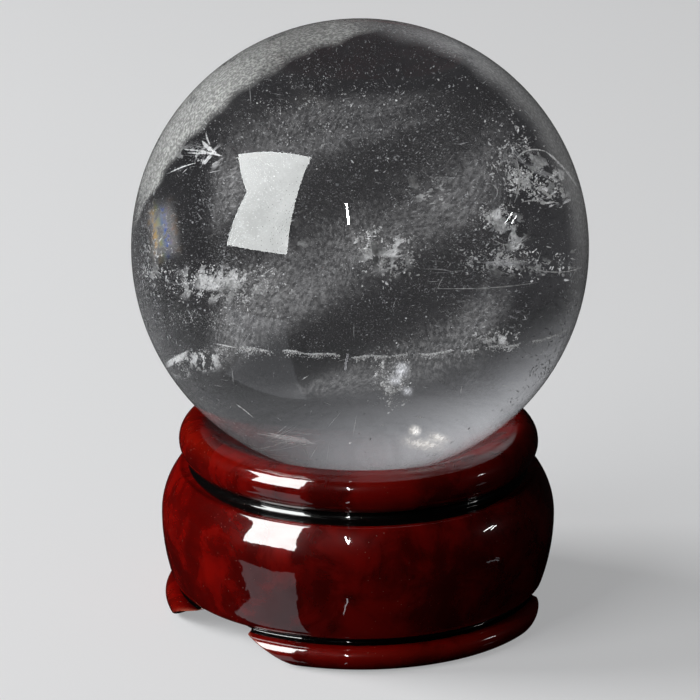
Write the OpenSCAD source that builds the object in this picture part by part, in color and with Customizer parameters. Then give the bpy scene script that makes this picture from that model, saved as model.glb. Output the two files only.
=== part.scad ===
// Crystal ball resting on a turned, lacquered wooden stand.
// Millimetres, +Z up. The origin is on the surface it stands on, under the ball's centre.

/* [Ball] */
// Diameter of the ball
ball_d = 60; // [45:1:75]
// Gap left between the ball and its seat, measured square to the seat
seat_gap = 0.15; // [0.05:0.05:0.4]
// Slope of the conical seat, in degrees from level
seat_slope = 26; // [20:1:28]

/* [Rim] */
// Diameter of the circle along the middle of the rolled rim
rim_ring_d = 42.2; // [40:0.2:44]
// Thickness of the rolled rim
rim_roll_d = 5.6; // [5:0.2:6.2]
// Height of the middle of the rolled rim
rim_z = 23.3; // [22.8:0.1:24.5]

/* [Drum] */
// Diameter of the drum at its widest
drum_d = 52.4; // [50:0.2:55]
// Height at which the drum is widest
belly_z = 13.1; // [12:0.1:14]
// Radius of the round shoulder above the belly
shoulder_r = 10.2; // [9.5:0.1:10.6]
// Radius of the long curve below the belly
flank_r = 27.4; // [22:0.2:40]
// Height of the drum's lower edge
drum_bottom_z = 4.2; // [4:0.1:5]

/* [Grooves] */
// Radius of the cove cut under the rim
cove_r = 1.4; // [1:0.1:1.6]
// Radius, from the axis, at the bottom of the groove above the foot ring
waist_r = 23.3; // [22.5:0.1:23.6]

/* [Foot ring] */
// Outer diameter of the half-round foot ring
foot_d = 51.6; // [50:0.2:54]
// Height of the foot ring
foot_h = 3.2; // [2.8:0.1:3.6]
// Diameter of the hollow turned into the underside
recess_d = 40; // [36:1:42]
// Depth of the hollow turned into the underside
recess_h = 4.0; // [3.9:0.1:4.5]

/* [Arches] */
// Width of each arch cut through the foot ring, at the floor
arch_w = 23.8; // [16:0.2:26]
// Height of each arch
arch_h = 3.8; // [3:0.1:3.9]
// Directions of the arches round the stand, in degrees from the front
arch_at = [-48, 88, 200]; // [-180:1:360]

/* [Hidden] */
$fn = 96;

// Seat: a cone that leaves the top of the rim at the seat slope
rim_ring_r = rim_ring_d / 2;
rim_roll_r = rim_roll_d / 2;
seat_edge = [
    rim_ring_r - rim_roll_r * sin(seat_slope),
    rim_z + rim_roll_r * cos(seat_slope)
];
seat_flat_r = 3;
seat_flat_z = seat_edge.y - (seat_edge.x - seat_flat_r) * tan(seat_slope);

// Ball: touches the cone all round, apart from the gap
ball_z = (ball_d / 2 + seat_gap) / cos(seat_slope) + seat_edge.y - seat_edge.x * tan(seat_slope);

drum_r = drum_d / 2;
shoulder_x = drum_r - shoulder_r;
flank_x = drum_r - flank_r;
cove_at = [rim_ring_r + 2.2, rim_z - 2.45];
foot_x = (foot_d - foot_h) / 2;

// An arch is a shallow slice of a cylinder that lies level and points at the axis
arch_r = (pow(arch_w / 2, 2) + pow(arch_h, 2)) / (2 * arch_h);
past = 5;

// Right half of the drum, without its grooves
module drum_section() {
    intersection() {
        translate([flank_x, belly_z]) circle(r = flank_r, $fn = 180);
        translate([0, drum_bottom_z]) square([drum_r + past, belly_z - drum_bottom_z]);
    }
    intersection() {
        translate([shoulder_x, belly_z]) circle(r = shoulder_r);
        translate([shoulder_x, belly_z]) square(drum_r);
    }
}

// Right half of the solid between the seat and the hollow underneath
module core_section() {
    polygon([
        [0, recess_h],
        [waist_r, recess_h],
        [waist_r, belly_z],
        [rim_ring_r, rim_z],
        seat_edge,
        [seat_flat_r, seat_flat_z],
        [0, seat_flat_z]
    ]);
}

// Half-round foot ring, with the wall that joins it to the drum
module foot_section() {
    translate([foot_x, foot_h / 2]) circle(d = foot_h);
    translate([recess_d / 2, 0]) square([foot_x - recess_d / 2, foot_h]);
    translate([recess_d / 2, 0]) square([waist_r - recess_d / 2, belly_z]);
}

// Everything above the seat's cone
module above_seat() {
    polygon([
        [-past, seat_flat_z],
        [seat_flat_r, seat_flat_z],
        seat_edge,
        [seat_edge.x, rim_z + past],
        [-past, rim_z + past]
    ]);
}

// Right half of the whole stand, to be turned about the axis
module stand_section() {
    difference() {
        union() {
            drum_section();
            core_section();
            foot_section();
        }
        translate(cove_at) circle(r = cove_r);
        above_seat();
    }
    translate([rim_ring_r, rim_z]) circle(r = rim_roll_r);
}

// The cutter for one arch, pointing to the front
module arch_cutter() {
    translate([0, -recess_d / 4, arch_h - arch_r])
        rotate([90, 0, 0]) cylinder(r = arch_r, h = foot_d / 2, $fn = 180);
}

// Turned wooden stand: rolled rim, sloping seat, round-shouldered drum, foot ring with arches
module stand() {
    color("darkred") difference() {
        rotate_extrude($fn = 180) stand_section();
        for (angle = arch_at) rotate([0, 0, angle]) arch_cutter();
    }
}

// Solid ball
module crystal_ball() {
    color("gainsboro") translate([0, 0, ball_z]) sphere(d = ball_d, $fn = 180);
}

stand();
crystal_ball();
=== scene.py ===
import math

import bpy
import numpy as np
from mathutils import Euler, Matrix, Vector


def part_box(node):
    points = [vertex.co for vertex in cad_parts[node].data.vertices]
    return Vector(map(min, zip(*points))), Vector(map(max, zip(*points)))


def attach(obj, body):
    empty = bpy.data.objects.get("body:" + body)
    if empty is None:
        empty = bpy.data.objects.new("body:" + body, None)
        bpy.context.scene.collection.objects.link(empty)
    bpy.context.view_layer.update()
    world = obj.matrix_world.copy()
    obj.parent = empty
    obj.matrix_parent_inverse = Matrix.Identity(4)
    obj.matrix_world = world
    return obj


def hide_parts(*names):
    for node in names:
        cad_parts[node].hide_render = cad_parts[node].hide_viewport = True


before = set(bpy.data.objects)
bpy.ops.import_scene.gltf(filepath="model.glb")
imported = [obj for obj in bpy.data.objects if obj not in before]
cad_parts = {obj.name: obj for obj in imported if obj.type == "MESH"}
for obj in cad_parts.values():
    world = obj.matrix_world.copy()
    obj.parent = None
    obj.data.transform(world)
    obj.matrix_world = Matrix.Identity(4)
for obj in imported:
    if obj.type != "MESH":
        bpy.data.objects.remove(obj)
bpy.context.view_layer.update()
scene = bpy.context.scene
ballLow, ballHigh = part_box("crystal_ball")
ballRadius = (ballHigh.z - ballLow.z) / 2
ballCentre = np.array([0.0, 0.0, ballLow.z + ballRadius])
mm = 0.001
print("frame loaded, ball radius", round(ballRadius, 4))


# Meshes from whole arrays

def makeMesh(name, points, faceSets, attributes=None, smooth=True):
    mesh = bpy.data.meshes.new(name)
    corners = [len(faces[0]) for faces in faceSets for _ in range(len(faces))]
    flat = np.concatenate([faces.ravel() for faces in faceSets]).astype(np.int32)
    starts = np.concatenate([[0], np.cumsum(corners)[:-1]]).astype(np.int32)
    mesh.vertices.add(len(points))
    mesh.vertices.foreach_set("co", np.asarray(points, np.float32).ravel())
    mesh.loops.add(len(flat))
    mesh.loops.foreach_set("vertex_index", flat)
    mesh.polygons.add(len(corners))
    mesh.polygons.foreach_set("loop_start", starts)
    mesh.update(calc_edges=True)
    mesh.polygons.foreach_set("use_smooth", np.full(len(corners), smooth))
    for key, values in (attributes or {}).items():
        layer = mesh.attributes.new(key, "FLOAT", "POINT")
        layer.data.foreach_set("value", np.asarray(values, np.float32).ravel())
    mesh.validate()
    piece = bpy.data.objects.new(name, mesh)
    scene.collection.objects.link(piece)
    return piece


# Quads between neighbouring rows of a grid whose rows close round on themselves
def ringFaces(rows, columns):
    row, column = np.meshgrid(np.arange(rows - 1), np.arange(columns), indexing="ij")
    ahead = (column + 1) % columns
    a, b = row * columns + column, row * columns + ahead
    return np.stack([a, a + columns, b + columns, b], -1).reshape(-1, 4)


# A fan from one point to the ring that starts at vertex first; turned over at the last row
def fanFaces(pole, first, columns, last=False):
    column = np.arange(columns)
    ahead = (column + 1) % columns
    ends = (first + ahead, first + column) if last else (first + column, first + ahead)
    return np.stack([np.full(columns, pole), *ends], -1)


# Rises from 0 at low to 1 at high, level at both ends; falls where low is the larger
def smoothStep(low, high, value):
    t = np.clip((value - low) / (high - low), 0, 1)
    return t * t * (3 - 2 * t)


# A soft band: 1 at the middle, falling away on both sides over the reach
def softBand(middle, reach, value):
    return np.exp(-((value - middle) / reach) ** 2)


# Shader helpers: they build in the tree that was opened last

opened = {}


def openTree(tree):
    tree.nodes.clear()
    opened["tree"] = tree


def link(source, target):
    opened["tree"].links.new(source, target)


def addNode(kind, **values):
    node = opened["tree"].nodes.new("ShaderNode" + kind)
    for key, value in values.items():
        setattr(node, key, value)
    return node


# A node stands for its first output
def feed(target, value):
    if isinstance(value, bpy.types.Node):
        value = value.outputs[0]
    if isinstance(value, bpy.types.NodeSocket):
        link(value, target)
    elif value is not None:
        target.default_value = value


def calc(operation, first, second=None, third=None, clamp=False):
    node = addNode("Math", operation=operation, use_clamp=clamp)
    for socket, value in zip(node.inputs, (first, second, third)):
        feed(socket, value)
    return node.outputs[0]


def mixColour(amount, first, second):
    node = addNode("Mix", data_type="RGBA", blend_type="MIX")
    feed(node.inputs["Factor"], amount)
    for socket, value in ((node.inputs[6], first), (node.inputs[7], second)):
        feed(socket, value)
    return node.outputs[2]


def remap(value, low, high, toLow=0.0, toHigh=1.0):
    node = addNode("MapRange", interpolation_type="SMOOTHSTEP")
    ends = {"Value": value, "From Min": low, "From Max": high, "To Min": toLow, "To Max": toHigh}
    return setInputs(node, ends).outputs["Result"]


def noise(place, scale, detail=4.0, roughness=0.55, distortion=0.0, stretch=None):
    if stretch:
        mapping = addNode("Mapping")
        place = setInputs(mapping, {"Vector": place, "Scale": stretch})
    node = setInputs(addNode("TexNoise"), {
        "Vector": place, "Scale": scale, "Detail": detail, "Roughness": roughness, "Distortion": distortion,
    })
    return node.outputs["Fac"]


# Feeds a node's inputs by name
def setInputs(node, values):
    for key, value in values.items():
        feed(node.inputs[key], value)
    return node


# A Mix Shader or Add Shader, with its inputs in order
def joinShaders(kind, *sources):
    node = addNode(kind)
    for source, socket in zip(sources, node.inputs):
        feed(socket, source)
    return node


def showSurface(shader):
    setInputs(opened["output"], {"Surface": shader})


# A shader straight into the output
def finishSurface(kind, values):
    showSurface(setInputs(addNode(kind), values))


def newMaterial(name):
    material = bpy.data.materials.new(name)
    material.use_nodes = True
    openTree(material.node_tree)
    opened["output"] = addNode("OutputMaterial")
    return material


def objectPlace():
    return addNode("TexCoord").outputs["Object"]


def attribute(name):
    return addNode("Attribute", attribute_name=name).outputs["Fac"]


def newGroup(name, inputs, outputs):
    group = bpy.data.node_groups.new(name, "ShaderNodeTree")
    for key, kind, value in inputs:
        socket = group.interface.new_socket(name=key, in_out="INPUT", socket_type="NodeSocket" + kind)
        if value is not None:
            socket.default_value = value
    for key, kind in outputs:
        group.interface.new_socket(name=key, in_out="OUTPUT", socket_type="NodeSocket" + kind)
    openTree(group)
    return group, group.nodes.new("NodeGroupInput"), group.nodes.new("NodeGroupOutput")


# Fine pale specks: small cells of a Voronoi pattern, most of them left out by a coarse noise
def buildDustGroup():
    group, start, end = newGroup(
        "settled dust",
        [("Place", "Vector", None), ("Scale", "Float", 900.0), ("Size", "Float", 0.12)],
        [("Mask", "Float")],
    )
    cells = addNode("TexVoronoi", feature="F1")
    setInputs(cells, {"Vector": start.outputs["Place"], "Scale": start.outputs["Scale"]})
    speck = calc("LESS_THAN", cells.outputs["Distance"], start.outputs["Size"])
    chance = addNode("SeparateColor")
    link(cells.outputs["Color"], chance.inputs[0])
    kept = calc("GREATER_THAN", chance.outputs["Red"], 0.72)
    link(calc("MULTIPLY", speck, kept), end.inputs["Mask"])
    return group


# Cloudy strength that breaks up a veil: broad patches times fine grain
def buildCloudGroup():
    group, start, end = newGroup(
        "broken veil",
        [("Place", "Vector", None), ("Patch", "Float", 120.0), ("Grain", "Float", 1400.0),
         ("Floor", "Float", 0.42), ("Soft", "Float", 0.22), ("Base", "Float", 0.3)],
        [("Mask", "Float"), ("Grain", "Float")],
    )
    patch = addNode("TexNoise")
    grain = addNode("TexNoise")
    for node, key, detail in ((patch, "Patch", 5.0), (grain, "Grain", 3.0)):
        setInputs(node, {"Vector": start.outputs["Place"], "Scale": start.outputs[key],
                         "Detail": detail, "Roughness": 0.62})
    high = calc("ADD", start.outputs["Floor"], start.outputs["Soft"])
    broad = remap(patch.outputs["Fac"], start.outputs["Floor"], high)
    fine = remap(grain.outputs["Fac"], 0.4, 0.68)
    rest = calc("SUBTRACT", 1.0, start.outputs["Base"])
    veil = calc("MULTIPLY_ADD", fine, rest, start.outputs["Base"])
    link(calc("MULTIPLY", broad, veil), end.inputs["Mask"])
    link(fine, end.inputs["Grain"])
    return group


dustGroup = buildDustGroup()
cloudGroup = buildCloudGroup()


def useGroup(group, **values):
    return setInputs(addNode("Group", node_tree=group), values)


# Turned stand

standSpec = {
    "seatSlope": 26.0, "seatFlat": 3.0 * mm,  # the seat is a cone with a small flat at its middle
    "rimRing": 21.1 * mm, "rimRoll": 2.8 * mm, "rimHeight": 23.3 * mm,
    "coveIn": 2.2 * mm, "coveDrop": 2.45 * mm, "cove": 1.4 * mm,
    "drum": 26.2 * mm, "belly": 13.1 * mm, "shoulder": 10.2 * mm, "flank": 27.4 * mm,
    "drumFoot": 4.2 * mm, "waist": 23.3 * mm,
    "footOut": 25.8 * mm, "footHeight": 3.2 * mm,
    "recess": 20.0 * mm, "recessDepth": 4.0 * mm,
    "archHalf": 11.9 * mm, "archHeight": 3.8 * mm, "archAt": (-48.0, 88.0, 200.0),
    "columns": 520, "easing": 4,  # easing is how often each row is averaged with its neighbours
    "seatPole": 0.6 * mm, "hollowPole": 1.0 * mm,  # radii of the last rings round the two middle points
    "upperSteps": {"flat": 3, "seat": 14, "roll": 34, "cove": 18, "shoulder": 30, "flank": 20},
    "footSteps": {"under": 140, "waist": 100, "top": 90, "bead": 500},  # fine, as the arches cut across them
    "rows": {"foot": 44, "sole": 10, "wall": 8, "ceiling": 6},
}
# Where the finish changes: each pair runs from none to full, or is the middle and the reach of a band
finishSpec = {
    "neckLow": (18.6 * mm, 19.0 * mm), "neckHigh": (21.2 * mm, 20.8 * mm),  # heights of the upper black
    "blackBelow": 23.5 * mm, "blackEdge": 0.2 * mm,  # it fills the neck inside this radius
    "blackThinner": 0.9 * mm, "thinnerFrom": (25, 75),  # and thins with the angle from the front
    "insideRows": 30,  # the seat and the rim's crest take no black
    "grooveBlack": 0.9, "grooveRadius": (24.4 * mm, 23.9 * mm), "grooveHeights": (2.9 * mm, 4.5 * mm),
    "wearReach": 0.5 * mm, "cutHeight": (0.1 * mm, 0.8 * mm),  # wear along the lips of the arches
    "crest": (22.6 * mm, 1.1 * mm), "crestHeight": (23.6 * mm, 24.8 * mm),
    "bead": (2.2 * mm, 0.8 * mm), "beadRadius": (24.4 * mm, 25.2 * mm),
    "seatRadius": (22.2 * mm, 20.7 * mm), "seatAbove": 10 * mm,
}


def arcPoints(centre, radius, fromAngle, toAngle, count):
    angle = np.radians(np.linspace(fromAngle, toAngle, count, endpoint=False))
    return np.stack([centre[0] + radius * np.cos(angle), centre[1] + radius * np.sin(angle)], -1)


def linePoints(start, end, count):
    t = np.linspace(0, 1, count, endpoint=False)[:, None]
    return np.array(start) * (1 - t) + np.array(end) * t


# Where two circles cross: the crossing further out, or the one nearer the axis
def circlesMeet(centreA, radiusA, centreB, radiusB, outer=True):
    a, b = np.array(centreA), np.array(centreB)
    gap = np.linalg.norm(b - a)
    along = (radiusA ** 2 - radiusB ** 2 + gap ** 2) / (2 * gap)
    across = math.sqrt(radiusA ** 2 - along ** 2)
    unit = (b - a) / gap
    sides = [a + along * unit + s * across * np.array([-unit[1], unit[0]]) for s in (1, -1)]
    return (max if outer else min)(sides, key=lambda point: point[0])


def angleOf(point, centre):
    return math.degrees(math.atan2(point[1] - centre[1], point[0] - centre[0]))


# Radius and height down the outside: seat cone, rim roll, cove, shoulder and flank
def upperOutline(s):
    slope = math.radians(s["seatSlope"])
    steps = s["upperSteps"]
    rim = (s["rimRing"], s["rimHeight"])
    edge = (rim[0] - s["rimRoll"] * math.sin(slope), rim[1] + s["rimRoll"] * math.cos(slope))
    flatHeight = edge[1] - (edge[0] - s["seatFlat"]) * math.tan(slope)
    cove = (rim[0] + s["coveIn"], rim[1] - s["coveDrop"])
    shoulder = (s["drum"] - s["shoulder"], s["belly"])
    flank = (s["drum"] - s["flank"], s["belly"])
    coveTop = circlesMeet(rim, s["rimRoll"], cove, s["cove"], outer=False)
    coveLow = circlesMeet(cove, s["cove"], shoulder, s["shoulder"])
    flankEnd = -math.degrees(math.asin((s["belly"] - s["drumFoot"]) / s["flank"]))
    return np.concatenate([
        linePoints((s["seatPole"], flatHeight), (s["seatFlat"], flatHeight), steps["flat"]),
        linePoints((s["seatFlat"], flatHeight), edge, steps["seat"]),
        arcPoints(rim, s["rimRoll"], 90 + s["seatSlope"], angleOf(coveTop, rim), steps["roll"]),
        arcPoints(cove, s["cove"], angleOf(coveTop, cove), angleOf(coveLow, cove), steps["cove"]),
        arcPoints(shoulder, s["shoulder"], angleOf(coveLow, shoulder), 0, steps["shoulder"]),
        arcPoints(flank, s["flank"], 0, flankEnd, steps["flank"]),
    ])


# Height of the arches' soffit over the floor at a radius and a direction round the stand
def soffitHeight(s, radius, turn):
    archRadius = (s["archHalf"] ** 2 + s["archHeight"] ** 2) / (2 * s["archHeight"])
    height = np.zeros(np.broadcast(radius, turn).shape)
    for direction in s["archAt"]:
        away = turn - math.radians(direction)
        sideways = radius * np.sin(away)
        inside = np.maximum(archRadius ** 2 - sideways ** 2, 0)
        cut = s["archHeight"] - archRadius + np.sqrt(inside)
        height = np.maximum(height, np.where(np.cos(away) > 0, cut, 0))
    return height


# Masks for black paint in the grooves, worn lips of the arches, thin lacquer on raised edges and the seat
def finishMasks(s, turn, radius, height, lip, lipSoffit):
    steps = np.hypot(np.diff(radius, axis=0), np.diff(height, axis=0))
    travel = np.concatenate([np.zeros((1, len(turn))), np.cumsum(steps, 0)])
    wear = softBand(travel[lip], s["wearReach"], travel) * smoothStep(*s["cutHeight"], lipSoffit)
    neck = smoothStep(*s["neckLow"], height) * smoothStep(*s["neckHigh"], height)
    fromFront = np.degrees(np.arccos(np.cos(turn)))
    edge = s["blackBelow"] - s["blackThinner"] * smoothStep(*s["thinnerFrom"], fromFront)
    neckPaint = smoothStep(edge + s["blackEdge"], edge - s["blackEdge"], radius) * neck
    seatSide = np.arange(len(radius))[:, None] < s["insideRows"]
    crest = softBand(*s["crest"], radius) * smoothStep(*s["crestHeight"], height)
    bead = softBand(*s["bead"], height) * smoothStep(*s["beadRadius"], radius)
    low, high = s["grooveHeights"]
    groove = s["grooveBlack"] * smoothStep(*s["grooveRadius"], radius) * (height > low) * (height < high)
    return {
        "blackPaint": np.where(seatSide, 0, np.maximum(neckPaint, groove)), "lipWear": wear,
        "ridge": np.maximum(crest, bead),
        "seat": smoothStep(*s["seatRadius"], radius) * (height > s["seatAbove"]),
    }


# Shares of the way to the last row, without the first
def rowShares(count):
    return np.linspace(0, 1, count)[1:, None]


# The whole stand: for each direction round it the groove and the foot bead run down to where the arch
# cuts them, and the path goes on along the soffit, up the hollow's wall and along its ceiling
def buildStand(s):
    turn = np.linspace(0, 2 * np.pi, s["columns"], endpoint=False)
    rows, steps = s["rows"], s["footSteps"]
    upper = upperOutline(s)
    beadRadius = s["footHeight"] / 2
    beadAt = (s["footOut"] - beadRadius, beadRadius)
    flankFoot = s["drum"] - s["flank"] + math.sqrt(s["flank"] ** 2 - (s["belly"] - s["drumFoot"]) ** 2)
    fine = np.concatenate([
        linePoints((flankFoot, s["drumFoot"]), (s["waist"], s["drumFoot"]), steps["under"]),
        linePoints((s["waist"], s["drumFoot"]), (s["waist"], s["footHeight"]), steps["waist"]),
        linePoints((s["waist"], s["footHeight"]), (beadAt[0], s["footHeight"]), steps["top"]),
        arcPoints(beadAt, beadRadius, 90, -90, steps["bead"]),
        [(beadAt[0], 0.0)],
    ])
    above = fine[:, 1][:, None] - soffitHeight(s, fine[:, 0][:, None], turn[None, :])
    reach = np.argmax(above <= 1e-9, axis=0).astype(float)
    along = np.linspace(0, 1, rows["foot"])[:, None] * reach[None, :]
    index = np.arange(len(fine))
    lowRadius, lowHeight = (np.interp(along, index, fine[:, axis]) for axis in (0, 1))
    inward = rowShares(rows["sole"])
    soleRadius = lowRadius[-1] * (1 - inward) + s["recess"] * inward
    soleHeight = soffitHeight(s, soleRadius, turn[None, :])
    climb = rowShares(rows["wall"])
    wallHeight = soleHeight[-1] * (1 - climb) + s["recessDepth"] * climb
    wallRadius = np.full_like(wallHeight, s["recess"])
    ceiling = np.linspace(s["recess"], s["hollowPole"], rows["ceiling"])[1:, None]
    ceilingRadius = np.repeat(ceiling, len(turn), 1)
    ceilingHeight = np.full_like(ceilingRadius, s["recessDepth"])
    wide = np.ones((1, len(turn)))
    radius = np.concatenate([upper[:, :1] * wide, lowRadius, soleRadius, wallRadius, ceilingRadius])
    height = np.concatenate([upper[:, 1:] * wide, lowHeight, soleHeight, wallHeight, ceilingHeight])
    for _ in range(s["easing"]):
        for grid in (radius, height):
            grid[1:-1] = 0.25 * grid[:-2] + 0.5 * grid[1:-1] + 0.25 * grid[2:]
    height[height < 0] = 0
    lip = len(upper) + len(lowRadius) - 1
    masks = finishMasks(finishSpec, turn, radius, height, lip, soffitHeight(s, lowRadius[-1], turn))
    across, deep = radius * np.sin(turn), -radius * np.cos(turn)
    points = np.stack([across, deep, height], -1).reshape(-1, 3)
    rowCount, columns = radius.shape
    seatMiddle, hollowMiddle = [0, 0, upper[0, 1]], [0, 0, s["recessDepth"]]
    points = np.concatenate([points, [seatMiddle, hollowMiddle]])
    total = rowCount * columns
    faces = [
        ringFaces(rowCount, columns),
        fanFaces(total, 0, columns),
        fanFaces(total + 1, (rowCount - 1) * columns, columns, last=True),
    ]
    middles = {"seat": [1, 0]}  # the seat's middle point is dull too
    masks = {key: np.append(mask, middles.get(key, [0, 0])) for key, mask in masks.items()}
    return makeMesh("lacqueredStand", points, faces, masks)


lacquerLook = {
    "deep": (0.06, 0.0007, 0.0004, 1), "bright": (0.215, 0.002, 0.0007, 1),
    "glow": (0.22, 0.006, 0.0015, 1), "black": (0.0025, 0.002, 0.002, 1),
    "worn": (0.36, 0.1, 0.06, 1), "dust": (0.5, 0.36, 0.3, 1),
    # noises: scale, detail, roughness and distortion
    "mottle": (130, 5, 0.6, 0.4), "grain": (420, 4, 0.6, 0.2), "brush": (60, 3, 0.5, 0.8),
    "wobble": (700, 2), "chips": (900, 3), "sparse": (90, 2),
    "ripple": (90, 1, 0.4), "brushed": (330, 2, 0.5, 0.3), "pores": (1500, 2, 0.5),
    "grainStretch": (1, 1, 0.22), "brushStretch": (1, 1, 3.0),
    "dustScale": 2100.0, "dustSize": 0.11, "dustShows": 0.55, "wearShows": 0.8,
    "roughness": (0.22, 0.34), "dustRoughness": 0.4,
    "brushedRelief": 0.27, "poreRelief": 0.012, "dustRelief": 0.05,
    "bumpStrength": 0.5, "bumpDistance": 0.35 * mm, "ior": 1.5, "specular": 0.08,
    "coat": 1.0, "seatCoat": 0.08, "coatRoughness": 0.03, "coatIor": 1.75,
}


# Deep red with lighter mottling and brush streaks, black and worn places over it, dust, and a clear coat
def lacquerMaterial(look):
    material = newMaterial("redLacquer")
    place = objectPlace()
    mottle = noise(place, *look["mottle"])
    grain = noise(place, *look["grain"], stretch=look["grainStretch"])
    brush = noise(place, *look["brush"], stretch=look["brushStretch"])
    tone = calc("ADD", remap(mottle, 0.36, 0.66), calc("MULTIPLY", grain, 0.5))
    tone = calc("ADD", tone, calc("MULTIPLY", brush, 0.5))
    red = mixColour(remap(tone, 0.3, 1.6), look["deep"], look["bright"])
    thin = calc("MULTIPLY", attribute("ridge"), remap(brush, 0.35, 0.65, 0.1, 0.6))
    red = mixColour(thin, red, look["glow"])
    wobble = calc("MULTIPLY", calc("SUBTRACT", noise(place, *look["wobble"]), 0.5), 0.7)
    paint = remap(calc("ADD", attribute("blackPaint"), wobble), 0.4, 0.6)
    withBlack = mixColour(paint, red, look["black"])
    chips = calc("MULTIPLY", attribute("lipWear"), remap(noise(place, *look["chips"]), 0.32, 0.55))
    worn = calc("MULTIPLY", chips, look["wearShows"])
    withWear = mixColour(worn, withBlack, look["worn"])
    dust = useGroup(dustGroup, Place=place, Scale=look["dustScale"], Size=look["dustSize"])
    sparse = remap(noise(place, *look["sparse"]), 0.5, 0.62)
    dusty = calc("MULTIPLY", dust.outputs["Mask"], sparse)
    dusty = calc("MULTIPLY", dusty, look["dustShows"])
    rough = remap(mottle, 0.3, 0.7, *look["roughness"])
    rough = calc("ADD", rough, calc("MULTIPLY", dusty, look["dustRoughness"]))
    relief = noise(place, *look["ripple"])
    for height, share in ((noise(place, *look["brushed"]), look["brushedRelief"]),
                          (noise(place, *look["pores"]), look["poreRelief"]),
                          (dusty, look["dustRelief"])):
        relief = calc("ADD", relief, calc("MULTIPLY", height, share))
    bump = setInputs(addNode("Bump"), {
        "Strength": look["bumpStrength"], "Distance": look["bumpDistance"], "Height": relief,
    })
    finishSurface("BsdfPrincipled", {
        "Base Color": mixColour(dusty, withWear, look["dust"]), "Roughness": rough,
        "Normal": bump, "Coat Normal": bump,
        "Coat Weight": remap(attribute("seat"), 0, 1, look["coat"], look["seatCoat"]),
        "Coat Roughness": look["coatRoughness"], "Coat IOR": look["coatIor"],
        "IOR": look["ior"], "Specular IOR Level": look["specular"],
    })
    return material


stand = buildStand(standSpec)
stand.data.materials.append(lacquerMaterial(lacquerLook))
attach(stand, "stand")
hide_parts("stand")
print("stand built,", len(stand.data.polygons), "faces")


# Quartz ball

ballSpec = {
    "rings": 200, "columns": 320, "ior": 1.544,
    "tint": (0.985, 0.99, 1.0, 1), "cloudTint": (0.955, 0.965, 0.985, 1), "cloud": (60, 3),
    "lampTint": (0.86, 0.87, 0.89, 1),  # what the lamps' light keeps on its way in
}


# A sphere on a grid of turn and drop angles, closed with one point at each pole
def buildBall(s):
    drop = np.linspace(0, np.pi, s["rings"] + 2)[1:-1, None]
    turn = np.linspace(0, 2 * np.pi, s["columns"], endpoint=False)[None, :]
    grid = np.stack([np.sin(drop) * np.cos(turn), np.sin(drop) * np.sin(turn),
                     np.cos(drop) + 0 * turn], -1).reshape(-1, 3)
    points = ballCentre + ballRadius * np.concatenate([grid, [[0, 0, 1], [0, 0, -1]]])
    total = s["rings"] * s["columns"]
    faces = [
        ringFaces(s["rings"], s["columns"]),
        fanFaces(total, 0, s["columns"]),
        fanFaces(total + 1, (s["rings"] - 1) * s["columns"], s["columns"], last=True),
    ]
    return makeMesh("quartzBall", points, faces)


# Clear glass that lets the lamps through to what is inside it
def quartzMaterial(s):
    material = newMaterial("rockCrystal")
    cloud = remap(noise(objectPlace(), *s["cloud"]), 0.4, 0.7)
    glass = setInputs(addNode("BsdfPrincipled"), {
        "Base Color": mixColour(cloud, s["tint"], s["cloudTint"]),
        "Roughness": 0.0, "IOR": s["ior"], "Transmission Weight": 1.0,
    })
    clear = setInputs(addNode("BsdfTransparent"), {"Color": s["lampTint"]})
    forLamps = addNode("LightPath").outputs["Is Shadow Ray"]
    showSurface(joinShaders("MixShader", forLamps, glass, clear))
    return material


ball = buildBall(ballSpec)
ball.data.materials.append(quartzMaterial(ballSpec))
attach(ball, "ball")
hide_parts("crystal_ball")
print("ball built")


# What the crystal holds: everything is placed by where it shows on the ball's face

viewDegrees = 18.4  # the camera looks down by this much
viewLift = math.radians(viewDegrees)
faceAxes = np.array([
    [1, 0, 0],
    [0, math.sin(viewLift), math.cos(viewLift)],
    [0, -math.cos(viewLift), math.sin(viewLift)],
])
faceEdge = 0.985  # flakes reach this far out on the face, in radii
underPolish = 0.992  # share of the radius that chips stay within
dice = np.random.default_rng(41)


# The point that shows at side and up on the face, in radii, at a share depth of the way along the ray that
# Snell's law bends into the crystal there
def insideAt(side, up, depth):
    side, up, depth = np.broadcast_arrays(*(np.asarray(v, float) for v in (side, up, depth)))
    facing = np.sqrt(np.maximum(1 - side ** 2 - up ** 2, 1e-6))
    entry = np.stack([side, up, facing], -1)
    ratio = 1 / ballSpec["ior"]
    turned = ratio * facing - np.sqrt(1 - ratio ** 2 * (1 - facing ** 2))
    ray = ratio * np.array([0, 0, -1.0]) + turned[..., None] * entry
    chord = -2 * (entry * ray).sum(-1)
    point = entry + (depth * chord)[..., None] * ray
    return ballCentre + ballRadius * point @ faceAxes


# Places past the edge of the face are brought back to it
def ontoFace(side, up):
    over = np.maximum(np.hypot(side, up) / faceEdge, 1)
    return side / over, up / over


def unit(rows):
    return rows / np.linalg.norm(rows, axis=1, keepdims=True)


# Directions spread evenly over the sphere
def randomWays(count):
    return unit(dice.normal(size=(count, 3)))


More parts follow.
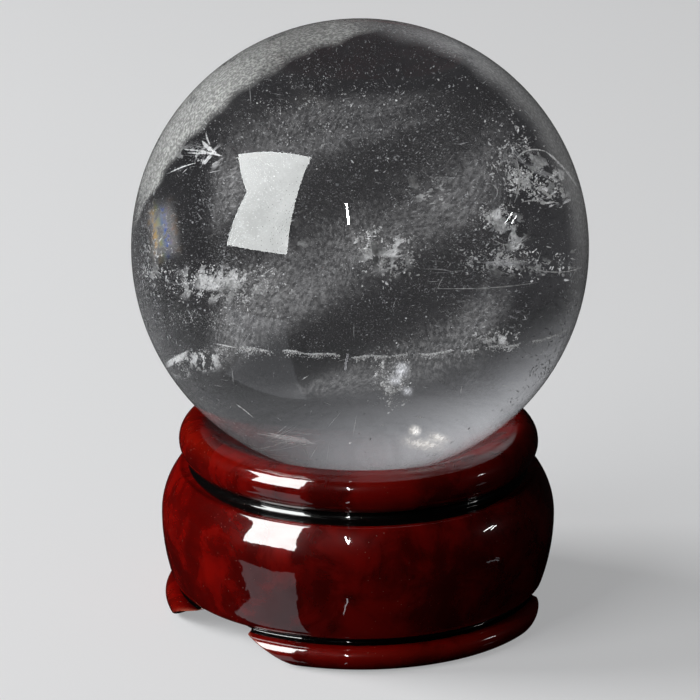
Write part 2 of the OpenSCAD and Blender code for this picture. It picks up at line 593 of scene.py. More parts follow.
# Lens-shaped chips: a ragged ring of points round each centre, with a low apex on either face, stretched
# along its long way, or along a random one where longWays is None
def makeChips(name, centres, normals, spans, longWays, stretch, thick, sides, shades):
    count = len(centres)
    other = randomWays(count) if longWays is None else longWays
    first = other - (other * normals).sum(1, keepdims=True) * normals
    first /= np.maximum(np.linalg.norm(first, axis=1, keepdims=True), 1e-9)
    second = np.cross(normals, first)
    angle = np.arange(sides) * 2 * np.pi / sides + dice.uniform(-0.3, 0.3, (count, sides))
    reach = spans[:, None] * dice.uniform(0.6, 1.25, (count, sides))
    ring = (centres[:, None] + (reach * np.cos(angle) * stretch[:, None])[..., None] * first[:, None]
            + (reach * np.sin(angle))[..., None] * second[:, None])
    lift = (spans * thick)[:, None] * normals
    points = np.concatenate([ring, (centres + lift)[:, None], (centres - lift)[:, None]], 1)
    offset = points - ballCentre
    away = np.linalg.norm(offset, axis=2, keepdims=True)
    points = ballCentre + offset * np.minimum(1, underPolish * ballRadius / away)
    base = (np.arange(count) * (sides + 2))[:, None]
    here = np.arange(sides)[None, :]
    ahead = (here + 1) % sides
    top = np.stack([base + sides + 0 * here, base + here, base + ahead], -1).reshape(-1, 3)
    low = np.stack([base + sides + 1 + 0 * here, base + ahead, base + here], -1).reshape(-1, 3)
    shade = np.repeat(shades, sides + 2)
    return makeMesh(name, points.reshape(-1, 3), [top, low], {"shade": shade}, smooth=False)


# Chips of a pale or white tone of their own, with a painted glow from their emission
def chipMaterial(name, pale, dim, roughness, paintedGlow):
    material = newMaterial(name)
    grain = remap(noise(objectPlace(), 2600, 3), 0.35, 0.65, 0.75, 1.0)
    colour = mixColour(calc("MULTIPLY", attribute("shade"), grain), dim, pale)
    finishSurface("BsdfPrincipled", {
        "Base Color": colour, "Roughness": roughness,
        "Emission Color": colour, "Emission Strength": paintedGlow,  # painted glow: it stands in for light that reaches it from all round the ball
    })
    return material


def placeInclusion(piece, material):
    piece.data.materials.append(material)
    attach(piece, "ball")


paleChipAndGlow = chipMaterial("paleChipsAndGlow", (0.93, 0.94, 0.95, 1), (0.05, 0.05, 0.055, 1), 0.5, 0.05)
whiteFlakeAndGlow = chipMaterial("whiteFlakesAndGlow", (0.95, 0.95, 0.94, 1), (0.3, 0.3, 0.31, 1), 0.35, 0.18)

# A smooth random field over space: a sum of plane waves of about one wavelength
def makeWaves(wavelength, count=14):
    waves = randomWays(count) * (2 * np.pi / wavelength) * dice.uniform(0.6, 1.5, (count, 1))
    phases = dice.uniform(0, 2 * np.pi, count)
    return lambda points: np.sin(points @ waves.T + phases).sum(1) / math.sqrt(count / 2)


speckSpec = {
    "count": 24500, "tries": 500000, "span": (0.016 * mm, 0.08 * mm),
    "sheetWave": 13 * mm, "featherWave": 4.5 * mm, "sheetWidth": 0.3, "featherWidth": 0.55,
    "even": 0.06,  # share of the density that is the same everywhere
    "reach": 0.985,  # squared radius that they reach on the face
    "calmBelow": -0.5, "calm": 0.02,  # few specks lie under the healed fracture
    "rightShare": 0.45,  # of the density at the left
}


# Specks lie where two random fields both pass near zero, so they gather in curled sheets and feathers
def scatterSpecks(s):
    n = s["tries"]
    radius, angle = np.sqrt(dice.uniform(0, s["reach"], n)), dice.uniform(0, 2 * np.pi, n)
    side, up = radius * np.cos(angle), radius * np.sin(angle)
    centres = insideAt(side, up, dice.uniform(0.02, 0.98, n))
    sheet, feather = makeWaves(s["sheetWave"])(centres), makeWaves(s["featherWave"])(centres)
    density = np.exp(-(sheet / s["sheetWidth"]) ** 2) * np.exp(-(feather / s["featherWidth"]) ** 2)
    leftward = s["rightShare"] + (1 - s["rightShare"]) * smoothStep(0.7, -0.5, side)
    calm = s["calm"] + (1 - s["calm"]) * smoothStep(s["calmBelow"] - 0.03, s["calmBelow"] + 0.06, up)
    density = (density + s["even"]) * leftward * calm
    kept = np.argsort(dice.uniform(0, 1, n) / density)[: s["count"]]
    centres, side = centres[kept], side[kept]
    low, high = s["span"]
    spans = low + (high - low) * dice.beta(1.2, 4.0, len(kept))
    along = np.array([1.0, 0.1, 0.15]) + 0.5 * randomWays(len(kept))
    stretch = dice.uniform(0.8, 1.3, len(kept)) * (1 + 1.2 * smoothStep(-0.1, 0.5, side))
    return makeChips("fineSpecks", centres, randomWays(len(kept)), spans, along, stretch, 0.45, 4,
                     dice.beta(1.5, 1.9, len(kept)))


placeInclusion(scatterSpecks(speckSpec), paleChipAndGlow)

# Flakes along the line where the healed fracture meets the front of the ball
fractureSeam = {
    "count": 3300, "thick": 0.006, "span": 0.065 * mm, "depth": 0.03,
    "course": ((-0.86, -0.5), (-0.75, -0.465), (-0.6, -0.432), (-0.4, -0.447), (0.0, -0.475),
               (0.27, -0.459), (0.55, -0.432), (0.74, -0.405), (0.91, -0.352)),
}


def makeSeam(s):
    n = s["count"]
    corners = np.array(s["course"])
    tries = dice.uniform(corners[0, 0], corners[-1, 0], 3 * n)
    clumps = np.sin(23 * tries) + np.sin(41 * tries + 1) + np.sin(67 * tries + 2)
    side = tries[np.argsort(dice.uniform(0, 1, 3 * n) - 0.2 * clumps)[:n]]
    low = dice.exponential(1.0, n) * (1 + 6 * smoothStep(-0.4, -0.7, side))
    up = np.interp(side, *corners.T) + 0.004 * np.sin(37 * side) - s["thick"] * low
    centres = insideAt(*ontoFace(side, up), s["depth"] * dice.uniform(0.8, 2.0, n))
    return centres, s["span"] * dice.uniform(0.3, 1.3, n), dice.uniform(0.4, 1.0, n)


# Knots of white flakes: middle, half widths, depth through the crystal, count, and flake size in mm
flakeKnots = (
    ((-0.9, -0.1), (0.04, 0.06), 0.25, 60, 0.34),
    ((-0.64, -0.17), (0.12, 0.035), 0.2, 120, 0.3),
    ((-0.48, -0.2), (0.07, 0.04), 0.2, 70, 0.28),
    ((0.02, 0.02), (0.03, 0.02), 0.15, 12, 0.42),
    ((0.1, -0.05), (0.07, 0.05), 0.18, 60, 0.3),
    ((0.14, -0.58), (0.035, 0.05), 0.3, 60, 0.3),
    ((0.66, 0.38), (0.05, 0.1), 0.25, 60, 0.24),
    ((0.78, 0.3), (0.09, 0.03), 0.3, 60, 0.24),
    ((0.56, 0.13), (0.05, 0.03), 0.22, 45, 0.26),
    ((0.64, -0.05), (0.12, 0.03), 0.3, 60, 0.24),
    ((0.6, -0.39), (0.06, 0.02), 0.25, 30, 0.24),
    ((-0.7, -0.33), (0.1, 0.02), 0.2, 40, 0.2),
    ((-0.3, 0.55), (0.25, 0.12), 0.3, 90, 0.2),
)


def growKnots(knots, often=40, crowd=9):
    parts = []
    feather = makeWaves(2.6 * mm)
    for at, spread, deep, count, span in knots:
        n = count * often
        side = at[0] + spread[0] * dice.normal(size=n)
        up = at[1] + spread[1] * dice.normal(size=n)
        depth = deep + 0.012 * dice.normal(size=n) + 0.3 * side
        centres = insideAt(*ontoFace(side, up), depth)
        kept = np.argsort(np.abs(feather(centres)) + 0.25 * dice.uniform(0, 1, n))[: crowd * count]
        spans = 0.5 * (span * mm) * dice.beta(1.2, 2.6, len(kept)) + 0.02 * mm
        parts.append((centres[kept], spans, dice.uniform(0.4, 1.0, len(kept))))
    parts.append(makeSeam(fractureSeam))
    centres, spans, shades = (np.concatenate([p[k] for p in parts]) for k in range(3))
    normals = unit(0.7 * faceAxes[2] + 0.9 * randomWays(len(centres)))
    stretch = dice.uniform(1.0, 2.4, len(centres))
    return makeChips("whiteFlakesAndGlow", centres, normals, spans, None, stretch, 0.08, 6, shades)


placeInclusion(growKnots(flakeKnots), whiteFlakeAndGlow)

# Fans of needles: root, depth, which way the fan opens on the face, half angle, count, and length in mm
needleFans = (
    ((-0.66, 0.4), 0.15, 175, 22, 16, 4.2),
    ((-0.6, 0.36), 0.16, 140, 30, 10, 2.6),
    ((-0.5, -0.86), 0.35, 20, 8, 6, 7.0),
    ((-0.28, -0.78), 0.35, 215, 14, 6, 6.0),
    ((0.38, -0.1), 0.2, 178, 6, 8, 3.5),
)
strayNeedles = {"count": 110, "long": (0.4 * mm, 1.5 * mm), "wide": 0.018 * mm}


def growNeedles(fans, stray):
    starts, ways, lengths = [], [], []
    for at, depth, opens, half, n, long in fans:
        angle = np.radians(opens + dice.uniform(-1, 1, n) * half)
        way = np.stack([np.cos(angle), np.sin(angle), 0.35 * dice.normal(size=n)], -1) @ faceAxes
        starts.append(insideAt(at[0] + 0.02 * dice.normal(size=n), at[1] + 0.02 * dice.normal(size=n), depth))
        ways.append(unit(way))
        lengths.append(long * mm * dice.uniform(0.35, 1.0, n))
    n = stray["count"]
    radius, angle = np.sqrt(dice.uniform(0, 0.92, n)), dice.uniform(0, 2 * np.pi, n)
    starts.append(insideAt(radius * np.cos(angle), radius * np.sin(angle), dice.uniform(0.05, 0.9, n)))
    ways.append(randomWays(n))
    lengths.append(dice.uniform(*stray["long"], n))
    starts, ways, lengths = (np.concatenate(v) for v in (starts, ways, lengths))
    middles = starts + 0.5 * lengths[:, None] * ways
    across = unit(np.cross(ways, randomWays(len(ways))))
    wide = stray["wide"] * dice.uniform(0.6, 1.5, len(ways))
    return makeChips("needles", middles, across, wide, ways, lengths / (2 * wide), 1.0, 4,
                     dice.uniform(0.4, 1.0, len(ways)))


placeInclusion(growNeedles(needleFans, strayNeedles), whiteFlakeAndGlow)

print("specks, flakes and needles grown")


# Bands of interference colour across a thin crack, from gold through blue to rose
def rainbowColour():
    bands = addNode("ValToRGB")
    stops = ((0.0, (0.35, 0.33, 0.3)), (0.22, (0.62, 0.36, 0.1)), (0.4, (0.3, 0.34, 0.16)),
             (0.55, (0.05, 0.13, 0.5)), (0.75, (0.3, 0.2, 0.16)), (1.0, (0.34, 0.24, 0.12)))
    while len(bands.color_ramp.elements) < len(stops):
        bands.color_ramp.elements.new(0.5)
    for element, (where, shine) in zip(bands.color_ramp.elements, stops):
        element.position = where
        element.color = (*shine, 1)
    link(attribute("across"), bands.inputs[0])
    return bands.outputs[0]


# Colour, strength, scales of patches and grain, noise level where the cloud starts, how softly it starts,
# strength left between grains, and a painted glow that stands in for lamp light mirrored by cracks and for
# the bright right limb
veilLooks = {
    "solidWhite": ((0.98, 0.98, 0.97), 1.0, 800.0, 2400.0, 0.4, 0.05, 0.85, 0),
    "glintGlowHaze": ((0.95, 0.96, 1.0), 0.9, 500.0, 1800.0, 0.25, 0.35, 0.5, 0.55),
    "brightGlowHaze": ((1.0, 0.97, 0.92), 1.0, 420.0, 1500.0, 0.2, 0.35, 0.6, 0.9),
    "tornWhite": ((0.97, 0.97, 0.96), 1.0, 620.0, 2400.0, 0.52, 0.04, 0.75, 0),
    "rainbowHaze": ((0.9, 0.9, 0.9), 0.8, 260.0, 900.0, 0.2, 0.22, 0.3, 0),
    "milkHaze": ((0.85, 0.84, 0.83), 0.27, 135.0, 2300.0, 0.05, 0.75, 0.15, 0),
    "fractureHaze": ((0.97, 0.98, 1.0), 0.24, 100.0, 1500.0, 0.32, 0.4, 0.5, 0),
    "limbHazeAndSheen": ((0.8, 0.8, 0.76), 0.95, 240.0, 2600.0, 0.2, 0.3, 0.5, 0),
    "rightLimbHazeAndGlow": ((0.9, 0.9, 0.9), 0.85, 120.0, 2600.0, 0.1, 0.4, 0.8, 0.26),
    "bentHaze": ((0.92, 0.92, 0.93), 0.8, 170.0, 1000.0, 0.38, 0.22, 0.3, 0),
}


def veilMaterial(name, colour, strength, patch, grain, floor, soft, base, paintedGlow):
    material = newMaterial(name)
    cloud = useGroup(cloudGroup, Place=objectPlace(), Patch=patch, Grain=grain, Floor=floor,
                     Soft=soft, Base=base)
    thinned = calc("MULTIPLY", cloud.outputs["Mask"], attribute("fade"))
    shine = rainbowColour() if name == "rainbowHaze" else (*colour, 1)
    dim = (*(0.7 * c for c in colour), 1)
    mixed = mixColour(cloud.outputs["Grain"], dim, shine)
    values = {"Base Color": mixed, "Roughness": 0.6, "Specular IOR Level": 0.0,
              "Alpha": calc("MULTIPLY", thinned, strength, clamp=True)}
    # Painted glow: emission that stands in for lamp light the crack mirrors
    if paintedGlow:
        values.update({"Emission Color": mixed, "Emission Strength": paintedGlow})
    finishSurface("BsdfPrincipled", values)
    return material


hazes = {name: veilMaterial(name, *look) for name, look in veilLooks.items()}


# A sheet over a grid of two shares, a across and b along. It thins towards its edges over the shares in
# fadeEdge; with outerEdge off it stays full where a is 1
def makeSheet(name, across, along, shape, fadeEdge, outerEdge):
    a, b = np.meshgrid(np.linspace(0, 1, across), np.linspace(0, 1, along), indexing="ij")
    points = shape(a, b).reshape(-1, 3)
    row, column = np.meshgrid(np.arange(across - 1), np.arange(along - 1), indexing="ij")
    first = row * along + column
    faces = np.stack([first, first + 1, first + along + 1, first + along], -1).reshape(-1, 4)
    edge = [smoothStep(0, w, np.minimum(t, 1 - t)) for t, w in zip((a, b), fadeEdge)]
    if not outerEdge:
        edge[0] = smoothStep(0, fadeEdge[0], a)
    return makeMesh(name, points, [faces], {"fade": edge[0] * edge[1], "across": a})


def hangSheet(name, grid, shape, fadeEdge, haze, outerEdge=True):
    placeInclusion(makeSheet(name, *grid, shape, fadeEdge, outerEdge), hazes[haze])


# The healed fracture: a nearly level sheet right across the ball, falling away to the back, gently waved
fractureSpec = {"falls": 13.0, "rises": 4.0, "front": (0.05, -0.455), "wave": 0.25 * mm}


def fractureShape(a, b):
    s = fractureSpec
    through = insideAt(*s["front"], 0.02)
    falls, rises = math.radians(s["falls"]), math.radians(s["rises"])
    back = np.array([0, math.cos(falls), -math.sin(falls)])
    right = np.array([math.cos(rises), 0, math.sin(rises)])
    normal = np.cross(right, back)
    normal /= np.linalg.norm(normal)
    drop = (through - ballCentre) @ normal
    middle = ballCentre + drop * normal
    reach = 0.985 * math.sqrt(ballRadius ** 2 - drop ** 2)
    angle = 2 * np.pi * b
    out = (reach * np.sqrt(0.001 + 0.999 * a))[..., None]
    spread = np.cos(angle)[..., None] * right + np.sin(angle)[..., None] * np.cross(normal, right)
    wave = s["wave"] * np.sin(4 * angle + 5 * a) * np.sin(9 * a) * (1 - a ** 6)
    return middle + out * spread + wave[..., None] * normal


# A sheet just under the polish along the limb, between two angles up from the right of the face. It reaches
# furthest in at the widest angle and narrows with the square of the angle from there
def limbShape(fromAngle, toAngle, inner, widest, narrows):
    def shape(a, b):
        turned = fromAngle + (toAngle - fromAngle) * b
        angle = np.radians(turned)
        ragged = 0.006 * np.sin(29 * b) + 0.006 * np.sin(67 * b)
        edge = np.minimum(inner + narrows * (turned - widest) ** 2, 0.97)
        rim = edge + (0.997 - edge) * a + ragged * (1 - a)
        return insideAt(rim * np.cos(angle), rim * np.sin(angle), 0.05 + 0.04 * np.sin(3 * np.pi * b))
    return shape


# A narrow sheet between two points of the face, which bows to one side and leans between two depths
def bowedShape(start, end, bow, depths, wide):
    def shape(a, b):
        side = start[0] * (1 - b) + end[0] * b + bow * np.sin(np.pi * b)
        up = start[1] * (1 - b) + end[1] * b
        depth = depths[0] * (1 - a) + depths[1] * a
        return insideAt(side + wide * (a - 0.5), up + 0.02 * np.sin(9 * b + 4 * a), depth)
    return shape


# A broad milky sheet across the whole face: a square drawn in at its corners, gently waved in depth
def milkShape(depth, bend):
    def shape(a, b):
        side, up = 1.7 * (a - 0.5), 1.7 * (b - 0.5)
        drawnIn = np.sqrt(1 - 0.5 * np.maximum(np.abs(side), np.abs(up)) ** 2)
        swell = bend * np.sin(3 * side + 2 * up) + 0.05 * np.sin(9 * up - 5 * side)
        return insideAt(side * drawnIn, up * drawnIn, depth + swell)
    return shape


# Patches: name, middle on the face, step across, step along, and depth through the crystal
rainbowPatches = (
    ("rainbowVeilA", (-0.84, 0.06), (0.15, 0.04), (0.05, -0.3), 0.06),
)
# White and bluish patches under the healed fracture, with a painted glow for lamp light that they mirror
glintGlowPatches = (
    ("flashVeilA", (0.175, -0.535), (0.0, 0.09), (0.1, 0.01), 0.1),
    ("flashVeilB", (0.145, -0.575), (0.0, 0.06), (0.09, -0.01), 0.11),
    ("flashVeilC", (0.2, -0.62), (0.0, 0.05), (0.07, 0.0), 0.12),
)
# Bright yellowish patches low on the right, with a painted glow for light that they catch
brightGlowPatches = (
    ("brightVeilA", (0.238, -0.79), (0.0, 0.06), (0.07, 0.0), 0.08),
    ("brightVeilB", (0.28, -0.85), (0.02, 0.075), (0.25, -0.05), 0.07),
    ("brightVeilC", (0.34, -0.82), (0.02, 0.05), (0.14, -0.04), 0.08),
)


# A small patch round a place on the face, spanned by its two steps
def patchShape(at, across, along, depth):
    def shape(a, b):
        side = at[0] + across[0] * (a - 0.5) + along[0] * (b - 0.5)
        up = at[1] + across[1] * (a - 0.5) + along[1] * (b - 0.5)
        return insideAt(side, up, depth + 0.05 * (a - 0.5) + 0.03 * np.sin(5 * b))
    return shape


# Torn white patches of crack
tornPatches = (
    ("tornA", (-0.6, -0.17), (0.05, 0.2), (0.46, -0.05), 0.16),
    ("tornB", (-0.88, -0.08), (0.06, 0.0), (0.0, 0.26), 0.14),
    ("tornC", (0.09, -0.03), (0.04, 0.22), (0.34, -0.08), 0.16),
    ("tornD", (0.74, 0.33), (0.02, 0.2), (0.34, -0.14), 0.2),
    ("tornE", (0.62, 0.06), (0.0, 0.22), (0.26, 0.02), 0.2),
    ("tornG", (-0.7, -0.51), (0.0, 0.12), (0.3, 0.06), 0.1),
    ("tornH", (0.7, -0.09), (0.0, 0.1), (0.42, 0.03), 0.24),
    ("tornI", (-0.28, 0.1), (0.2, 0.08), (-0.1, 0.34), 0.35),
    ("tornJ", (-0.7, 0.37), (0.03, 0.14), (0.3, -0.02), 0.12),
    ("tornK", (0.3, 0.25), (0.12, 0.14), (0.24, -0.18), 0.45),
)
# Smaller ones that are nearly solid
solidPatches = (
    ("solidA", (-0.64, -0.165), (0.01, 0.08), (0.16, -0.01), 0.14),
    ("solidB", (-0.56, -0.17), (-0.04, 0.07), (0.12, 0.03), 0.15),
    ("solidC", (0.1, -0.035), (0.0, 0.05), (0.2, -0.02), 0.15),
    ("solidD", (0.065, -0.05), (0.04, 0.0), (0.02, -0.18), 0.15),
    ("solidE", (-0.79, -0.495), (0.02, 0.05), (0.13, 0.06), 0.08),
    ("solidF", (0.655, 0.0), (0.0, 0.04), (0.1, 0.01), 0.16),
    ("solidG", (0.57, 0.13), (0.0, 0.06), (0.06, 0.02), 0.16),
    ("solidH", (0.6, -0.4), (0.0, 0.05), (0.06, 0.01), 0.12),
)
# Each kind of patch: rows, grid, share faded at the edges, and haze
patchKinds = (
    (solidPatches, (16, 28), 0.3, "solidWhite"), (glintGlowPatches, (16, 28), 0.5, "glintGlowHaze"),
    (brightGlowPatches, (16, 28), 0.5, "brightGlowHaze"), (tornPatches, (24, 36), 0.35, "tornWhite"),
    (rainbowPatches, (14, 28), 0.3, "rainbowHaze"),
)
for rows, grid, fade, haze in patchKinds:
    for name, *place in rows:
        hangSheet(name, grid, patchShape(*place), (fade, fade), haze)
# Milky sheets: name, depth and bend
for name, depth, bend in (("milkVeilA", 0.25, 0.1), ("milkVeilB", 0.5, -0.12), ("milkVeilC", 0.75, 0.08)):
    hangSheet(name, (40, 40), milkShape(depth, bend), (0.12, 0.12), "milkHaze")
hangSheet("healedFracture", (60, 120), fractureShape, (0.04, 0.0001), "fractureHaze")
# Cloudy limb: name, grid, shape, shares faded and haze. The veils are real haze and also a painted sheen
# along the bright limb; the right one has a painted glow too
limbVeils = (
    ("leftLimbVeil", (40, 140), limbShape(80, 182, 0.8, 126, 0.00007), (0.3, 0.2), "limbHazeAndSheen"),
    ("rightLimbVeil", (40, 110), limbShape(-30, 104, 0.86, 40, 0.00001), (0.7, 0.4), "rightLimbHazeAndGlow"),
)
for veil in limbVeils:
    hangSheet(*veil, outerEdge=False)
bentVeils = (
    ("bentVeilA", bowedShape((0.62, 0.42), (0.93, 0.22), 0.0, (0.1, 0.35), 0.03)),
    ("bentVeilB", bowedShape((0.66, 0.44), (0.7, -0.1), -0.1, (0.1, 0.4), 0.08)),
    ("bentVeilC", bowedShape((0.35, -0.02), (0.9, -0.12), 0.0, (0.15, 0.45), 0.1)),
    ("bentVeilD", bowedShape((-0.95, -0.12), (-0.35, -0.24), 0.0, (0.1, 0.3), 0.05)),
)
for name, shape in bentVeils:
    hangSheet(name, (24, 60), shape, (0.3, 0.15), "bentHaze")

# Thin curved edges of cracks: start, middle, end and width of each on the face
crackThreads = (
    ((0.55, 0.03), (0.63, -0.03), (0.71, 0.035), 0.006),
    ((0.6, -0.05), (0.65, -0.08), (0.71, -0.065), 0.009),
    ((0.71, -0.09), (0.85, -0.13), (0.96, -0.08), 0.006),
    ((0.32, -0.187), (0.58, -0.19), (0.77, -0.15), 0.004),
    ((0.66, 0.37), (0.7, 0.43), (0.79, 0.41), 0.01),
    ((0.79, 0.41), (0.88, 0.35), (0.94, 0.26), 0.012),
    ((0.66, 0.37), (0.69, 0.27), (0.65, 0.18), 0.01),
    ((0.74, 0.25), (0.79, 0.235), (0.82, 0.2), 0.02),
    ((0.68, 0.184), (0.73, 0.2), (0.79, 0.19), 0.007),
    ((-0.83, 0.3), (-0.77, 0.33), (-0.7, 0.345), 0.006),
    ((-0.44, -0.88), (-0.36, -0.865), (-0.287, -0.827), 0.005),
    ((-0.39, -0.841), (-0.3, -0.85), (-0.2, -0.86), 0.005),
    ((-0.527, -0.683), (-0.49, -0.705), (-0.453, -0.74), 0.006),
    ((-0.61, -0.425), (-0.57, -0.432), (-0.52, -0.443), 0.006),
    ((-0.755, 0.405), (-0.68, 0.4), (-0.585, 0.37), 0.012),
    ((-0.675, 0.44), (-0.655, 0.405), (-0.61, 0.385), 0.02),
    ((-0.66, 0.475), (-0.655, 0.445), (-0.64, 0.42), 0.01),
    ((-0.74, 0.39), (-0.68, 0.385), (-0.62, 0.38), 0.008),
    ((0.55, 0.26), (0.6, 0.23), (0.56, 0.19), 0.006),
)


# Each thread is a narrow ribbon along a curve bent towards its middle, with an uneven width
def growThreads(threads, steps=36, depth=0.13):
    points, faces, t = [], [], np.linspace(0, 1, steps)[:, None]
    for count, (start, middle, end, wide) in enumerate(threads):
        bent = (1 - t) ** 2 * np.array(start) + 2 * t * (1 - t) * np.array(middle) + t ** 2 * np.array(end)
        ahead = unit(np.gradient(bent, axis=0))
        half = 0.5 * wide * np.sin(np.pi * t[:, 0]) ** 0.5 * dice.uniform(0.15, 1.2, steps)
        beside = np.stack([-ahead[:, 1], ahead[:, 0]], -1) * half[:, None]
        ribbon = np.stack([bent - beside, bent + beside], 1)
        points.append(insideAt(ribbon[..., 0], ribbon[..., 1], depth).reshape(-1, 3))
        row = 2 * np.arange(steps - 1) + 2 * steps * count
        faces.append(np.stack([row, row + 1, row + 3, row + 2], -1))
    shades = np.ones(2 * steps * len(threads))
    return makeMesh("crackThreads", np.concatenate(points), [np.concatenate(faces)], {"shade": shades})


placeInclusion(growThreads(crackThreads), whiteFlakeAndGlow)
print("veils hung")


# Stage, lamps and camera

stageSpec = {
    "span": 30.0, "below": 0.05 * mm,
    # the floor as the eye, the crystal, matt surfaces and mirroring surfaces meet it
    "floor": (0.5, 0.503, 0.508, 1), "paler": (0.33, 0.332, 0.336, 1),
    "seenThroughGlass": (0.026, 0.0255, 0.027, 1), "seenOtherwise": (0.05, 0.05, 0.052, 1),
    "seenInGloss": (0.004, 0.004, 0.004, 1), "polish": (0.04, 0.04, 0.043, 1), "polishRoughness": 0.03,
    # the sky likewise; through the crystal it brightens upwards and to the left
    "skyCamera": 0.5, "skyAmbient": 0.04, "skyGloss": 0.002, "skyGlass": (0.026, 1.0),
    "skyTint": (0.98, 0.99, 1.03), "skyRise": (0.0, 0.72), "skyLeftward": (-0.6, 0.5, 0.66, 0.1),
}


def grey(value):
    return (value, value, value, 1)


# A flat floor sheet: pale to the eye, but crystal and lacquer meet it as a dark polished bench, so that the
# crystal keeps its depth and the lacquer its colour
def buildFloor(s):
    half = s["span"] / 2
    corners = np.array([[-half, -half, 0], [half, -half, 0], [half, half, 0], [-half, half, 0]])
    corners[:, 2] = -s["below"]
    floor = makeMesh("studioFloor", corners, [np.array([[0, 1, 2, 3]])], smooth=False)
    material = newMaterial("studioPaper")
    path = addNode("LightPath").outputs
    matt = addNode("BsdfDiffuse")
    colour = mixColour(path["Is Glossy Ray"], s["seenOtherwise"], s["seenInGloss"])
    colour = mixColour(path["Is Camera Ray"], colour, s["floor"])
    link(colour, matt.inputs["Color"])
    polish = addNode("BsdfGlossy")
    setInputs(polish, {"Color": s["polish"], "Roughness": s["polishRoughness"]})
    polished = joinShaders("AddShader", matt, polish)
    surface = joinShaders("MixShader", path["Is Glossy Ray"], matt, polished)
    dark = setInputs(addNode("Emission"), {"Color": s["seenThroughGlass"]})
    surface = joinShaders("MixShader", path["Is Transmission Ray"], surface, dark)
    eyeOnly = mixColour(path["Is Camera Ray"], grey(0), s["paler"])
    paler = setInputs(addNode("Emission"), {"Color": eyeOnly})
    showSurface(joinShaders("AddShader", surface, paler))
    floor.data.materials.append(material)


def buildSky(s):
    world = bpy.data.worlds.new("studioRoom")
    scene.world = world
    world.use_nodes = True
    openTree(world.node_tree)
    opened["output"] = addNode("OutputWorld")
    path = addNode("LightPath").outputs
    shine = mixColour(path["Is Glossy Ray"], grey(s["skyAmbient"]), grey(s["skyGloss"]))
    way = addNode("SeparateXYZ")
    link(addNode("TexCoord").outputs["Generated"], way.inputs[0])
    rise = remap(way.outputs["Z"], *s["skyRise"])
    leftward = remap(way.outputs["X"], *s["skyLeftward"])
    low, high = ((*(tint * level for tint in s["skyTint"]), 1) for level in s["skyGlass"])
    behind = mixColour(calc("MULTIPLY", rise, leftward), low, high)
    shine = mixColour(path["Is Transmission Ray"], shine, behind)
    shine = mixColour(path["Is Camera Ray"], shine, grey(s["skyCamera"]))
    finishSurface("Background", {"Color": shine})


# Direction from the ball: turn is measured from the front towards +X, lift is up from level
def direction(turn, lift):
    turn, lift = math.radians(turn), math.radians(lift)
    return np.array([math.sin(turn) * math.cos(lift), -math.cos(turn) * math.cos(lift), math.sin(lift)])


# A tall panel with a second one leaning over it, each corner in a direction from the ball. Only gloss and
# glass see it
windowLamp = {
    "away": 0.55, "strength": 13.0, "throughGlass": 0.07, "tint": (0.97, 1.0, 0.99, 1),
    "edges": (((-69, 7), (-36, 10.5)), ((-69, 30), (-38.5, 35.5)), ((-91, 38), (-42.5, 56.5))),
    "clothScale": 14, "clothDetail": 3, "cloth": (0.88, 1.0),  # unevenness of the cloth over it
}
# Bare tubes that only make highlights, each between two directions
tubeLamps = (
    {"name": "frontTube", "ends": ((-8.4, 38), (-6.2, 28)), "away": 0.6, "wide": 0.012, "watts": 0.3},
    {"name": "sideTubeA", "ends": ((79, 13.3), (86.5, 15.1)), "away": 0.6, "wide": 0.007, "watts": 0.035},
    {"name": "sideTubeB", "ends": ((83, 11.7), (88, 13.1)), "away": 0.6, "wide": 0.007, "watts": 0.024},
)


def buildWindow(s):
    points = [ballCentre + s["away"] * direction(*corner) for row in s["edges"] for corner in row]
    faces = np.array([[0, 1, 3, 2], [2, 3, 5, 4]])
    panel = makeMesh("windowLamp", points, [faces], smooth=False)
    material = newMaterial("lampCloth")
    cloth = noise(objectPlace(), s["clothScale"], s["clothDetail"])
    cloth = remap(cloth, 0.3, 0.7, *s["cloth"])
    inGlass = addNode("LightPath").outputs["Is Transmission Ray"]
    dimmer = calc("MULTIPLY_ADD", inGlass, s["throughGlass"] - 1, 1.0)
    shine = calc("MULTIPLY", cloth, calc("MULTIPLY", dimmer, s["strength"]))
    finishSurface("Emission", {"Color": s["tint"], "Strength": shine})
    panel.data.materials.append(material)
    panel.visible_camera = panel.visible_diffuse = panel.visible_shadow = False


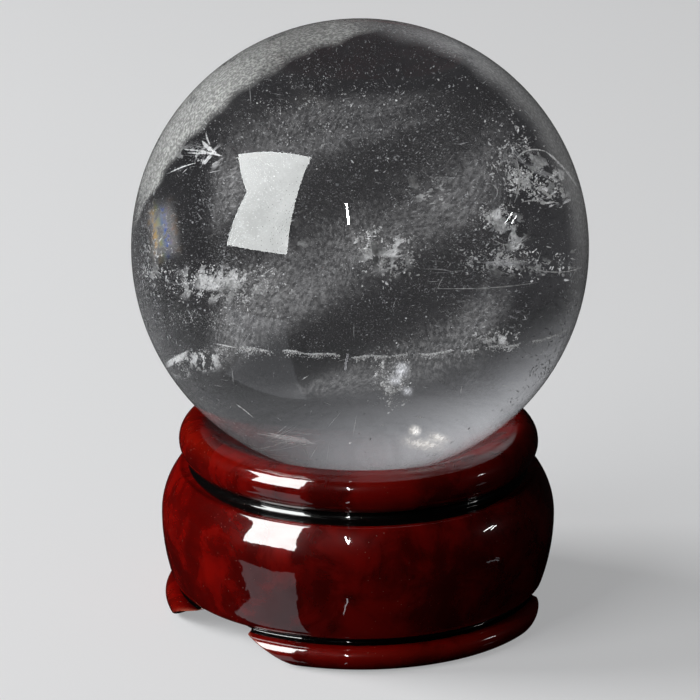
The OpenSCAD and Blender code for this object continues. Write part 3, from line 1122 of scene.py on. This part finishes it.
# Large soft panels that light matt surfaces only: one behind the window lamp and one further round
softPanels = (
    {"name": "windowFill", "ends": ((-50, 18), (-50, 44)), "away": 1.0, "wide": 0.55, "watts": 4.4},
    {"name": "leftFill", "ends": ((-100, 10), (-100, 33)), "away": 1.0, "wide": 0.55, "watts": 11.0},
)


# An area lamp stretched between two directions and facing the ball
def buildLamp(s, matt):
    start, end = (s["away"] * direction(*way) for way in s["ends"])
    middle, along = (start + end) / 2, end - start
    data = bpy.data.lights.new(s["name"], "AREA")
    data.shape = "RECTANGLE"
    data.size, data.size_y = s["wide"], float(np.linalg.norm(along))
    data.energy = s["watts"]
    lamp = bpy.data.objects.new(s["name"], data)
    scene.collection.objects.link(lamp)
    lamp.location = Vector(ballCentre + middle)
    back = Vector(middle).normalized()
    upward = Vector(along).normalized()
    sideways = upward.cross(back).normalized()
    lamp.rotation_euler = Matrix((sideways, back.cross(sideways), back)).transposed().to_euler()
    lamp.visible_camera = False
    lamp.visible_diffuse = matt
    lamp.visible_glossy = not matt
    lamp.visible_transmission = False


cameraSpec = {
    "aim": (-1.22 * mm, 0.0, 35.5 * mm), "away": 0.6, "lift": viewDegrees, "roll": 0.4,
    "lens": 233.5, "sensor": 36, "clip": (0.01, 50),
}


def buildCamera(s):
    data = bpy.data.cameras.new("studioCamera")
    data.lens = s["lens"]
    data.sensor_width = s["sensor"]
    data.clip_start, data.clip_end = s["clip"]
    camera = bpy.data.objects.new("studioCamera", data)
    scene.collection.objects.link(camera)
    camera.location = Vector(s["aim"]) + s["away"] * Vector(direction(0, s["lift"]))
    tilt = Euler((math.radians(90 - s["lift"]), 0, 0)).to_matrix()
    camera.rotation_euler = (tilt @ Matrix.Rotation(math.radians(s["roll"]), 3, "Z")).to_euler()
    scene.camera = camera


buildFloor(stageSpec)
buildSky(stageSpec)
buildWindow(windowLamp)
for spec in tubeLamps:
    buildLamp(spec, matt=False)
for spec in softPanels:
    buildLamp(spec, matt=True)
buildCamera(cameraSpec)
scene.view_settings.view_transform = "Standard"
scene.cycles.transparent_max_bounces = 48  # light has many veils to pass
scene.cycles.caustics_refractive = False
scene.cycles.caustics_reflective = False
print("stage, lamps and camera placed")
